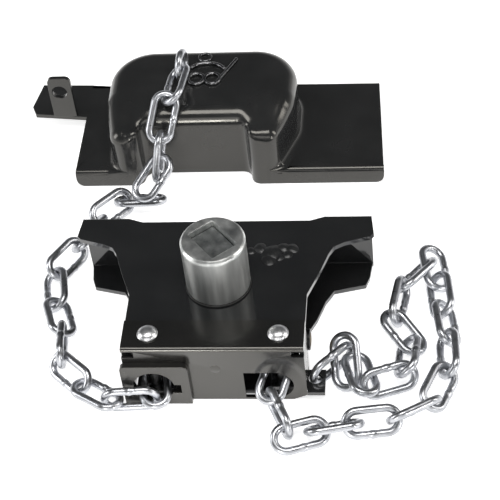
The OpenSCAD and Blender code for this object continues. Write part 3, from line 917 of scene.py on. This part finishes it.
def line_run(start: Sequence[float], end: Sequence[float], spans: int) -> Pair:
    """Points on a straight line and the direction to its right at each of them."""
    step = np.subtract(end, start)
    right = np.array([step[1], -step[0]]) / np.hypot(*step)
    return between(start, end, np.linspace(0, 1, spans + 1)), np.tile(right, (spans + 1, 1))


def bend_run(centre: Sequence[float], radius: float, start: float, end: float, spans: int) -> Pair:
    """Points on an arc and the direction to its right; the arc turns right if end is below start."""
    points = arc(centre, radius, start, end, spans + 1)
    out = (points - np.asarray(centre)) / radius
    return points, out if end > start else -out


Corner = tuple[float, float]
Run = tuple[Pair, Corner, Corner]


@dataclass(frozen=True)
class Leg:
    """A stretch round the hood: of the dome's foot, and of the plate's edge beside it.

    Args:
        dome: Points of the dome's foot.
        out: The outward direction at each of them.
        shoulder: The shoulder's radius at its start and end.
        spine: The place on the crown's spine for its start and end.
        start: Where the plate's edge starts.
        end: Where it ends.
        kind: What the edge is.
    """

    dome: Array
    out: Array
    shoulder: Corner
    spine: Corner
    start: Corner
    end: Corner
    kind: Edge


@dataclass(frozen=True)
class Side:
    """What sets one half of the hood apart, measured as on a left half.

    Args:
        tip_x: Middle of the nose from left to right.
        tip_r: Radius of the nose.
        bay_x: The bay's side.
        meet_x: Where the half meets the other one in the bay.
    """

    tip_x: float
    tip_r: float
    bay_x: float
    meet_x: float


NO_EDGE: Corner = (0.0, 0.0)
HOOD_EDGES: tuple[tuple[Corner, Corner, Edge], ...] = (
    ((-74.0, 272.41), (10.0, 271.65), Edge.FLANGE),
    ((-131.2, 272.94), (106.9, 270.76), Edge.FLANGE),
    ((-138.2, 273.0), (113.9, 270.7), Edge.FLANGE),
    ((-138.2, 273.0), (114.1, 266.3), Edge.CAP),
    ((-183.0, 274.7), (114.25, 262.0), Edge.CUT),
    ((-188.3, 245.5), (115.0, 247.0), Edge.CUT),
    ((-184.0, 236.0), (115.3, 241.0), Edge.CUT),
    ((-138.5, 231.0), (115.82, 231.0), Edge.CUT),
    ((-138.5, 190.0), (117.8, 190.0), Edge.CUT),
    ((-138.5, 165.5), (118.98, 165.5), Edge.CUT),
    ((-138.5, 161.0), (119.2, 161.0), Edge.CAP),
    ((-131.5, 161.0), (112.2, 161.0), Edge.FLANGE),
    ((-116.0, 161.0), (50.0, 161.0), Edge.FLANGE),
    ((-93.5, 161.0), (24.5, 161.0), Edge.FLANGE),
    *[(NO_EDGE, NO_EDGE, Edge.NONE)] * 4,
)


@dataclass
class PressedHood:
    """The hood: a plate with flanges, pressed up into a dome with a bay between two noses.

    Its plan is two closed loops that run side by side, the dome's foot and the plate's edge. Each
    cross-section goes from the foot of the flange round the fold, over the plate, up the flare and the
    wall, round the shoulder and in to a spine along the crown, and comes back inside it.

    Args:
        middle: The dome's middle from left to right.
        crown: The crown's height.
        plate: Height of the plate's upper face.
        wall: The sheet's thickness.
        fold: Outer radius of the flanges' fold.
        cut: Radius of a cut edge.
        flare: Radius where the plate turns up into the dome.
        corner: Radius of the flanges' lower corners.
        nose_drop: How far the noses' tops lie below the crown.
        fall_y: Where the crown starts and ends falling to a nose, from back to front.
        fall_x: The same by the distance from the bay's middle.
        shoulder: Radius of the shoulder at the sides and the back.
        bay_shoulder: Radius of the shoulder over the bay.
        bay_middle: The bay's middle from left to right.
        spine_y: Place of the crown's spine.
        spine_half: Half the spine's length.
        back: The dome's back wall.
        rear: Centre of the bend at the dome's back corner.
        rear_r: Its radius.
        waist: Centre of the bend that leads to a nose.
        waist_r: Its radius.
        front: The noses' front.
        bay_front: The wall at the back of the bay.
        bay_bend: Radius of the bay's corners in plan.
        flange_ends: Where the front and the back flange end, left and right.
        back_middle: The plate's back edge at the dome's middle.
        left: The left half's own sizes.
        right: The right half's own sizes.
        edges: For each run, where the plate's edge ends on the left, where it starts on the right, and
            what it is.
    """

    middle: float = -32.0
    crown: float = 64.0
    plate: float = 15.5
    wall: float = 4.0
    fold: float = 4.4
    cut: float = 0.5
    flare: float = 7.0
    corner: float = 7.0
    nose_drop: float = 9.0
    fall_y: Corner = (208.0, 168.0)
    fall_x: Corner = (36.0, 54.0)
    shoulder: float = 13.0
    bay_shoulder: float = 13.0
    bay_middle: float = -36.0
    spine_y: float = 225.0
    spine_half: float = 56.0
    back: float = 264.0
    rear: Corner = (-74.0, 227.0)
    rear_r: float = 37.0
    waist: Corner = (-69.0, 208.0)
    waist_r: float = 42.0
    front: float = 161.0
    bay_front: float = 176.0
    bay_bend: float = 8.0
    flange_ends: tuple[float, float, float, float] = (-138.5, 119.2, -138.2, 113.9)
    back_middle: Corner = (-32.0, 272.03)
    left: Side = Side(-93.5, 12.5, -81.0, -36.0)
    right: Side = Side(-88.5, 11.0, -73.0, -28.0)
    edges: tuple[tuple[Corner, Corner, Edge], ...] = HOOD_EDGES

    def height(self, x: Array, y: Array) -> Array:
        """The crown's height: level, and falling in a smooth step over each nose.

        Args:
            x: Places from left to right.
            y: Places from front to back.

        Returns:
            Heights.
        """
        fall = smooth_step(y, *self.fall_y) * smooth_step(np.abs(x - self.bay_middle), *self.fall_x)
        return self.crown - self.nose_drop * fall

    def half(self, side: Side) -> list[Run]:
        """One half of the dome's foot, from the middle of the back round to the middle of the bay.

        Both halves are worked out as a left half; the right one is mirrored later. The straight from
        the waist to the nose touches both their circles.

        Args:
            side: What sets the two halves apart.

        Returns:
            Runs with the shoulder's radius and the place on the spine at their start and end.
        """
        rear, waist, front = self.rear, np.array(self.waist), self.front
        tip = np.array([side.tip_x, front + side.tip_r])
        gap = tip - waist
        swing = math.acos((self.waist_r - side.tip_r) / np.hypot(*gap))
        lean = math.degrees(math.atan2(gap[1], gap[0]) - swing) + 360.0
        way = np.array([math.cos(math.radians(lean)), math.sin(math.radians(lean))])
        start, stop = waist + self.waist_r * way, tip + side.tip_r * way
        near, far = start + 0.1 * (stop - start), start + 0.2 * (stop - start)
        hip, bay, bend = rear[0] - self.rear_r, side.bay_x, self.bay_bend
        full, over_bay, nose = self.shoulder, self.bay_shoulder, side.tip_r - 1.5
        middle, end = self.middle, self.middle - self.spine_half
        back = line_run((middle, self.back), (rear[0], self.back), 21)
        runs: list[Run] = [(back, (full, full), (middle, rear[0]))]
        # Round the back corner: first and last angle, spans, and the spine's places.
        for first, last, spans, *spine in (
            (90, 108, 8, rear[0], -78), (108, 112, 8, -78, -80), (112, 112.5, 1, -80, -80),
            (112.5, 130, 6, -80, -84), (130, 158, 8, -84, -86), (158, 165, 3, -86, end),
            (165, 180, 6, end, end),
        ):
            runs.append((bend_run(rear, self.rear_r, first, last, spans), (full, full), tuple(spine)))
        # From the hip to the bay: each run with the shoulder's first and last radius.
        for run, *shoulder in (
            (line_run((hip, rear[1]), (hip, waist[1]), 6), full, full),
            (bend_run(waist, self.waist_r, 180, lean, 12), full, 12),
            (line_run(start, near, 1), 12, 12),
            (line_run(near, far, 8), 12, 11.5),
            (line_run(far, stop, 8), 11.5, nose),
            (bend_run(tip, side.tip_r, lean, 270, 24), nose, nose),
            (line_run((side.tip_x, front), (bay - bend, front), 3), nose, bend - 0.5),
            (bend_run((bay - bend, front + bend), bend, 270, 360, 16), bend - 0.5, bend),
            (bend_run((bay + bend, self.bay_front - bend), bend, 180, 90, 16), bend, over_bay),
        ):
            runs.append((run, tuple(shoulder), (end, end)))
        last_run = line_run((bay + bend, self.bay_front), (side.meet_x, self.bay_front), 28)
        return runs + [(last_run, (over_bay, over_bay), (end, middle))]

    def legs(self) -> list[Leg]:
        """Every stretch in order: the left half from the back's middle, then the right one back to it."""
        legs, start = [], self.back_middle
        for (run, shoulder, spine), (end, _, kind) in zip(self.half(self.left), self.edges):
            legs.append(Leg(*run, shoulder, spine, start, end, kind))
            start = end
        flip, both = np.array([-1.0, 1.0]), 2 * self.middle
        starts = [start for _, start, _ in self.edges]
        kinds = [kind for *_, kind in self.edges]
        rows = list(zip(self.half(self.right), starts, [self.back_middle] + starts, kinds))
        for ((dome, out), shoulder, spine), start, end, kind in reversed(rows):
            legs.append(Leg(dome[::-1] * flip + np.array([both, 0.0]), out[::-1] * flip, shoulder[::-1],
                            (both - spine[1], both - spine[0]), start, end, kind))
        return legs

    def stations(self) -> dict[str, Array]:
        """Work out every station round the hood.

        Returns:
            Arrays by name: dome, out, edge, way (all n by two), fold, foot, shoulder and spine.
        """
        legs = self.legs()
        parts: dict[str, list[Array]] = {}
        for leg, way in zip(legs, self.edge_ways(legs)):
            share = np.linspace(0, 1, len(leg.dome))
            bare = leg.kind is Edge.NONE
            edge = leg.dome if bare else between(leg.start, leg.end, share)
            fold, foot = self.edge_sizes(leg.kind, edge, way, share)
            made = {"dome": leg.dome, "out": leg.out, "edge": edge, "fold": fold, "foot": foot,
                    "way": leg.out if bare else between(*way, share),
                    "shoulder": np.interp(share, (0, 1), leg.shoulder),
                    "spine": np.interp(share, (0, 1), leg.spine)}
            for key, value in made.items():
                parts.setdefault(key, []).append(value)
        return {key: np.concatenate(value) for key, value in parts.items()}

    def edge_sizes(self, kind: Edge, edge: Array, way: Pair, share: Array) -> Pair:
        """The edge's radius and the height of its foot at each station of a stretch.

        A flange's lower corners are quarter circles of the corner radius.

        Args:
            kind: What the edge is.
            edge: The edge's points.
            way: Outward direction at its start and end.
            share: Shares along the stretch.

        Returns:
            Radii and heights.
        """
        under = self.plate - self.wall
        if kind is Edge.CUT:
            return np.full(len(share), self.cut), np.full(len(share), under)
        if kind is Edge.CAP:
            across_first = abs(way[0][0]) > abs(way[0][1])
            radii = (self.cut, self.fold) if across_first else (self.fold, self.cut)
            return np.interp(share, (0, 1), radii), np.full(len(share), self.corner)
        if kind is Edge.NONE:
            return np.zeros(len(share)), np.zeros(len(share))
        left, right = self.flange_ends[:2] if edge[0, 1] < 200 else self.flange_ends[2:]
        inside = np.clip(np.minimum(edge[:, 0] - left, right - edge[:, 0]), 0.0, self.corner)
        reach = self.corner - inside
        return np.full(len(share), self.fold), self.corner - np.sqrt(self.corner**2 - reach**2)

    @staticmethod
    def edge_ways(legs: Sequence[Leg]) -> list[Pair]:
        """The outward direction at both ends of each piece of the plate's edge.

        Where two cut edges meet, the direction is their mitre; a flange's cap turns from the
        direction of the one edge to that of the other.

        Args:
            legs: Every stretch in order.

        Returns:
            A pair of directions for each stretch.
        """
        straight = []
        for leg in legs:
            step = np.subtract(leg.end, leg.start)
            size = np.hypot(*step)
            straight.append(np.array([step[1], -step[0]]) / size if size > 1e-6 else None)
        ways = []
        for index, leg in enumerate(legs):
            own, ends = straight[index], []
            for other in (index - 1, (index + 1) % len(legs)):
                its = straight[other]
                if leg.kind is Edge.CAP:
                    ends.append(its)
                elif leg.kind is Edge.CUT and legs[other].kind is Edge.CUT:
                    ends.append((own + its) / (1 + float(own @ its)))
                else:
                    ends.append(own)
            ways.append((ends[0], ends[1]))
        return ways

    def sections(self) -> Array:
        """Every ring of the hood from the crown's spine inside, down and out to the spine outside.

        Returns:
            A grid of points, a ring a row.
        """
        at = self.stations()
        dome, out, edge, way = at["dome"], at["out"], at["edge"], at["way"]
        strip = np.hypot(*(edge - dome).T)
        fold, flare = np.minimum(at["fold"], strip / 2), np.minimum(self.flare, strip / 2)
        # The spine's points stand on a grid, so that both sides of the crown share them and merge.
        grid = self.spine_half * 2 / round(self.spine_half)
        spine_x = self.middle + np.round((at["spine"] - self.middle) / grid) * grid
        spine = np.stack([spine_x, np.full(len(spine_x), self.spine_y)], axis=1)
        brow = dome - out * at["shoulder"][:, None]
        rings: list[Array] = []

        def over(plan: Array, depth: float, drop: Array | float = 0.0) -> None:
            """Add a ring under the outer crown, by a depth in the sheet and a drop."""
            rings.append(at_height(plan, self.height(plan[:, 0], plan[:, 1]) - depth - drop))

        def crown(depth: float, shares: Array) -> None:
            """Add rings over the crown, by their shares of the way from the spine to the brow."""
            for share in shares:
                over(spine * (1 - share) + brow * share, depth)

        def shoulder(depth: float, degrees: Array) -> None:
            """Add rings round the shoulder, by their angles below the crown."""
            radius = at["shoulder"] - depth
            for swing in np.radians(degrees):
                plan = dome - out * (depth + radius * (1 - math.cos(swing)))[:, None]
                over(plan, depth, radius * (1 - math.sin(swing)))

        # Inside: the crown, the shoulder, and the wall's turn out under the plate.
        crown(self.wall, np.linspace(0, 1, 17))
        shoulder(self.wall, np.linspace(90, 0, 10)[1:])
        inner = flare + self.wall
        for swing in np.radians(np.linspace(0, 90, 9)):
            reach = np.clip(flare - inner * math.cos(swing), -self.wall, strip - self.wall)
            rings.append(at_height(dome + out * reach[:, None], self.plate + flare - inner * math.sin(swing)))
        # The flange's inner face and its foot, then outside: the fold, the flare, the wall and the crown.
        inside = edge - way * self.wall
        for plan, height in ((inside, self.plate - self.wall), (inside, at["foot"]), (edge, at["foot"])):
            rings.append(at_height(plan, height))
        for swing in np.radians(np.linspace(0, 90, 8)):
            plan = edge - way * (fold * (1 - math.cos(swing)))[:, None]
            rings.append(at_height(plan, self.plate - fold * (1 - math.sin(swing))))
        for swing in np.radians(np.linspace(0, 90, 9)):
            plan = dome + out * (flare * (1 - math.sin(swing)))[:, None]
            rings.append(at_height(plan, self.plate + flare * (1 - math.cos(swing))))
        low, high = self.plate + flare, self.height(dome[:, 0], dome[:, 1]) - at["shoulder"]
        rings += [at_height(dome, low * (1 - share) + high * share) for share in (0.33, 0.67)]
        shoulder(0.0, np.linspace(0, 90, 14))
        crown(0.0, np.linspace(1, 0, 17)[1:])
        return np.stack(rings)

    def build(self) -> None:
        """Make the hood and its lug."""
        put(grid_mesh("pressed_hood", [self.sections()]), HOOD_PAINT, Body.HOOD,
            ["hood_plate", "hood_dome"])
        finished_copy("lug_plate", HOOD_PAINT, Body.HOOD, 0.5)


@dataclass
class CrownWires:
    """The wire pieces on the hood's crown: its welded eye, a hairpin clip and the clip's ring.

    Args:
        crown: The crown's height.
        eye: Radius of the eye's centre line.
        eye_wire: Radius of its wire.
        eye_swell: How far the wire swells at its weld.
        eye_place: Its middle in plan.
        eye_rise: Its middle's height above the crown.
        eye_turn: The eye's heading in degrees.
        clip_wire: Radius of the clip's wire.
        clip_place: The middle of the clip's first coil.
        coil: Radius of its coils.
        coil_gap: Distance between the two coils' middles.
        bow: Centre and radius of its bow, and the angles where the bow starts and ends.
        leg: Start, heading and length of its leg.
        ring: Radius of the ring, its wire's radius and its middle's place.
    """

    crown: float = PressedHood.crown
    eye: float = 11.0
    eye_wire: float = 3.0
    eye_swell: float = 0.3
    eye_place: Corner = (-47.0, 222.5)
    eye_rise: float = 14.0
    eye_turn: float = -7.0
    clip_wire: float = 1.5
    clip_place: Corner = (-36.0, 220.0)
    coil: float = 6.5
    coil_gap: float = 13.4
    bow: tuple[Corner, float, float, float] = ((7.7, 2.0), 18.0, 35.0, 135.0)
    leg: tuple[Corner, float, float] = ((16.4, -6.5), 63.0, 34.0)
    ring: tuple[float, float, Corner] = (5.0, 1.0, (-31.0, 248.0))

    def build(self) -> None:
        """Make the eye, whose wire swells at its weld by a bell curve, the clip and its ring."""
        sizes = self.eye_wire + self.eye_swell * bell(np.linspace(-9, 9, 96), 0.0, 0.5)
        eye = flat_tube(circle(self.eye, 96), sizes, True, 20)
        eye = eye @ turning(0, 90, 0).T @ turning(0, 0, self.eye_turn).T
        put(grid_mesh("crown_eye_ring", [eye + np.array([*self.eye_place, self.crown + self.eye_rise])]),
            ZINC, Body.HOOD, ["crown_eye"])
        put(grid_mesh("hairpin_clip", self.clip()), CLIP, Body.HOOD, ["pin_clip"])
        radius, wire, place = self.ring
        ring = flat_tube(circle(radius, 64), wire, True, 12) + np.array([*place, self.crown + wire])
        put(grid_mesh("clip_end_ring", [ring]), CLIP, Body.HOOD, ["clip_ring"])

    def clip(self) -> list[Array]:
        """The clip's two coils, bow and leg, lying flat on the crown.

        Returns:
            A grid of points for each of them.
        """
        wire, (start, heading, length) = self.clip_wire, self.leg
        seat = np.array([*self.clip_place, self.crown + wire])
        coil = flat_tube(circle(self.coil, 64), wire, True, 12)
        grids = [coil + seat + np.array([along, 0, 0]) for along in (0.0, self.coil_gap)]
        way = np.array([math.cos(math.radians(heading)), math.sin(math.radians(heading))])
        leg = np.asarray(start) + np.linspace(0, length, 12)[:, None] * way
        for path in (arc(*self.bow, 40), leg):
            path, sizes = round_ends(path, wire)
            grids.append(flat_tube(path, sizes, False, 12) + seat)
        return grids


# --- Studio ---------------------------------------------------------------


def stand(thing: bpy.types.Object, axes: Sequence[Array], place: Sequence[float]) -> None:
    """Turn an object's X, Y and Z axes to the given directions and place it, in metres."""
    thing.matrix_world = Matrix([*np.column_stack([*axes, place]).tolist(), (0, 0, 0, 1)])


@dataclass
class Softbox:
    """An area lamp that points at a spot.

    Args:
        name: Its name.
        place: Where it stands, in metres.
        aim: The spot it points at, in metres.
        size: Its width and height in metres.
        power: Its power in watts.
        colour: Its colour.
    """

    name: str
    place: Triple
    aim: Triple
    size: tuple[float, float]
    power: float
    colour: Triple = (1.0, 1.0, 1.0)

    def build(self) -> None:
        """Make the lamp."""
        lamp = bpy.data.lights.new(self.name, "AREA")
        lamp.shape, lamp.energy, lamp.color = "RECTANGLE", self.power, self.colour
        lamp.size, lamp.size_y = self.size
        thing = linked(self.name, lamp)
        away = np.subtract(self.place, self.aim)
        away = away / np.linalg.norm(away)
        side = np.cross((0.0, 0.0, 1.0), away)
        side = side / np.linalg.norm(side)
        stand(thing, (side, np.cross(away, side), away), self.place)


@dataclass
class Studio:
    """A white floor under a dark upper world, softboxes and the camera.

    Args:
        lens: The camera's focal length in millimetres on a 36 mm sensor.
        place: The camera's place in millimetres.
        back: The direction out of the camera's back.
        right: The direction to the camera's right.
        half: Half the floor's side in metres.
        drop: How far the floor lies below the part, in metres.
        glow: How strongly the floor glows.
        horizon: The world's brightness at the horizon.
        haze: A height and the world's brightness there.
        sky: The height from which the world is dark, and its colour there.
    """

    lens: float = 118.38
    place: Triple = (158.8, -818.7, 948.4)
    back: Triple = (0.11078, -0.68550, 0.71959)
    right: Triple = (0.9938, 0.0695, -0.0868)
    half: float = 6.0
    drop: float = 0.0004
    glow: float = 0.72
    horizon: float = 0.85
    haze: tuple[float, float] = (0.12, 0.6)
    sky: tuple[float, Triple] = (0.42, (0.075, 0.077, 0.08))

    def build(self) -> None:
        """Make the floor, the world, the lamps and the camera."""
        self.floor()
        self.world()
        for box in (
            Softbox("overhead_box", (0.1, -0.35, 2.3), (0.0, 0.1, 0.0), (1.5, 1.0), 30.0, (1.0, 0.99, 0.97)),
            Softbox("left_box", (-2.0, -0.2, 0.9), (0.0, 0.1, 0.0), (0.8, 1.2), 16.0),
            Softbox("right_box", (2.0, 0.1, 1.0), (0.0, 0.1, 0.0), (0.6, 1.3), 14.0, (1.0, 0.98, 0.94)),
            Softbox("front_fill", (0.3, -2.6, 1.3), (0.0, 0.0, 0.0), (2.4, 0.9), 12.0),
            Softbox("left_strip", (-0.25, -1.4, 0.22), (0.0, 0.0, 0.08), (0.1, 0.4), 4.0, (1.0, 0.99, 0.95)),
            Softbox("right_strip", (1.1, -0.9, 0.22), (0.0, 0.0, 0.08), (0.1, 0.4), 3.0, (1.0, 0.99, 0.97)),
        ):
            box.build()
        self.camera()
        bpy.context.scene.view_settings.view_transform = "Standard"

    def floor(self) -> None:
        """Make the floor: white, partly glowing, so that only contact shadows show."""
        data = bpy.data.meshes.new("floor")
        square = [(self.half * x, self.half * y, 0) for x, y in ((-1, -1), (1, -1), (1, 1), (-1, 1))]
        data.from_pydata(square, [], [(0, 1, 2, 3)])
        thing = linked("floor", data)
        thing.location = (0.0, 0.0, -self.drop)
        tree = ShaderTree("white_floor")
        shader = tree.shader.inputs
        shader["Base Color"].default_value = (0.9, 0.9, 0.9, 1)
        shader["Roughness"].default_value = 0.9
        shader["Specular IOR Level"].default_value = 0.0
        shader["Emission Color"].default_value = (1, 1, 1, 1)
        shader["Emission Strength"].default_value = self.glow
        data.materials.append(tree.material)

    def world(self) -> None:
        """Make the world: bright at the horizon, dark from a low height upwards."""
        world = bpy.data.worlds.new("studio_world")
        bpy.context.scene.world = world
        world.use_nodes = True
        nodes, links = world.node_tree.nodes, world.node_tree.links
        place, split = nodes.new("ShaderNodeTexCoord"), nodes.new("ShaderNodeSeparateXYZ")
        ramp = nodes.new("ShaderNodeValToRGB")
        links.new(place.outputs["Generated"], split.inputs["Vector"])
        links.new(split.outputs["Z"], ramp.inputs["Fac"])
        links.new(ramp.outputs["Color"], nodes["Background"].inputs["Color"])
        stops = ramp.color_ramp.elements
        stops[0].position, stops[0].color = 0.0, (*[self.horizon] * 3, 1)
        stops[1].position, stops[1].color = self.sky[0], (*self.sky[1], 1)
        stops.new(self.haze[0]).color = (*[self.haze[1]] * 3, 1)
        nodes["Background"].inputs["Strength"].default_value = 1.0

    def camera(self) -> None:
        """Make the camera."""
        data = bpy.data.cameras.new("camera")
        data.sensor_width = 36.0
        data.lens = self.lens
        data.dof.use_dof = False
        data.clip_end = 50.0
        thing = linked("camera", data)
        back = np.array(self.back) / np.linalg.norm(self.back)
        right = np.array(self.right) - back * float(back @ np.array(self.right))
        right /= np.linalg.norm(right)
        stand(thing, (right, np.cross(back, right), back), np.array(self.place) * MM)
        bpy.context.scene.camera = thing


def main() -> None:
    """Load the frame, make every sub-assembly and the studio, and finish."""
    logging.basicConfig(level=logging.INFO, format="%(name)s %(message)s")
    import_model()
    for part in (Base(), Post(), Pins(), Lock(), Chains(), PressedHood(), CrownWires(), Studio()):
        LOG.info("building %s", type(part).__name__)
        part.build()


if __name__ == "__main__":
    main()
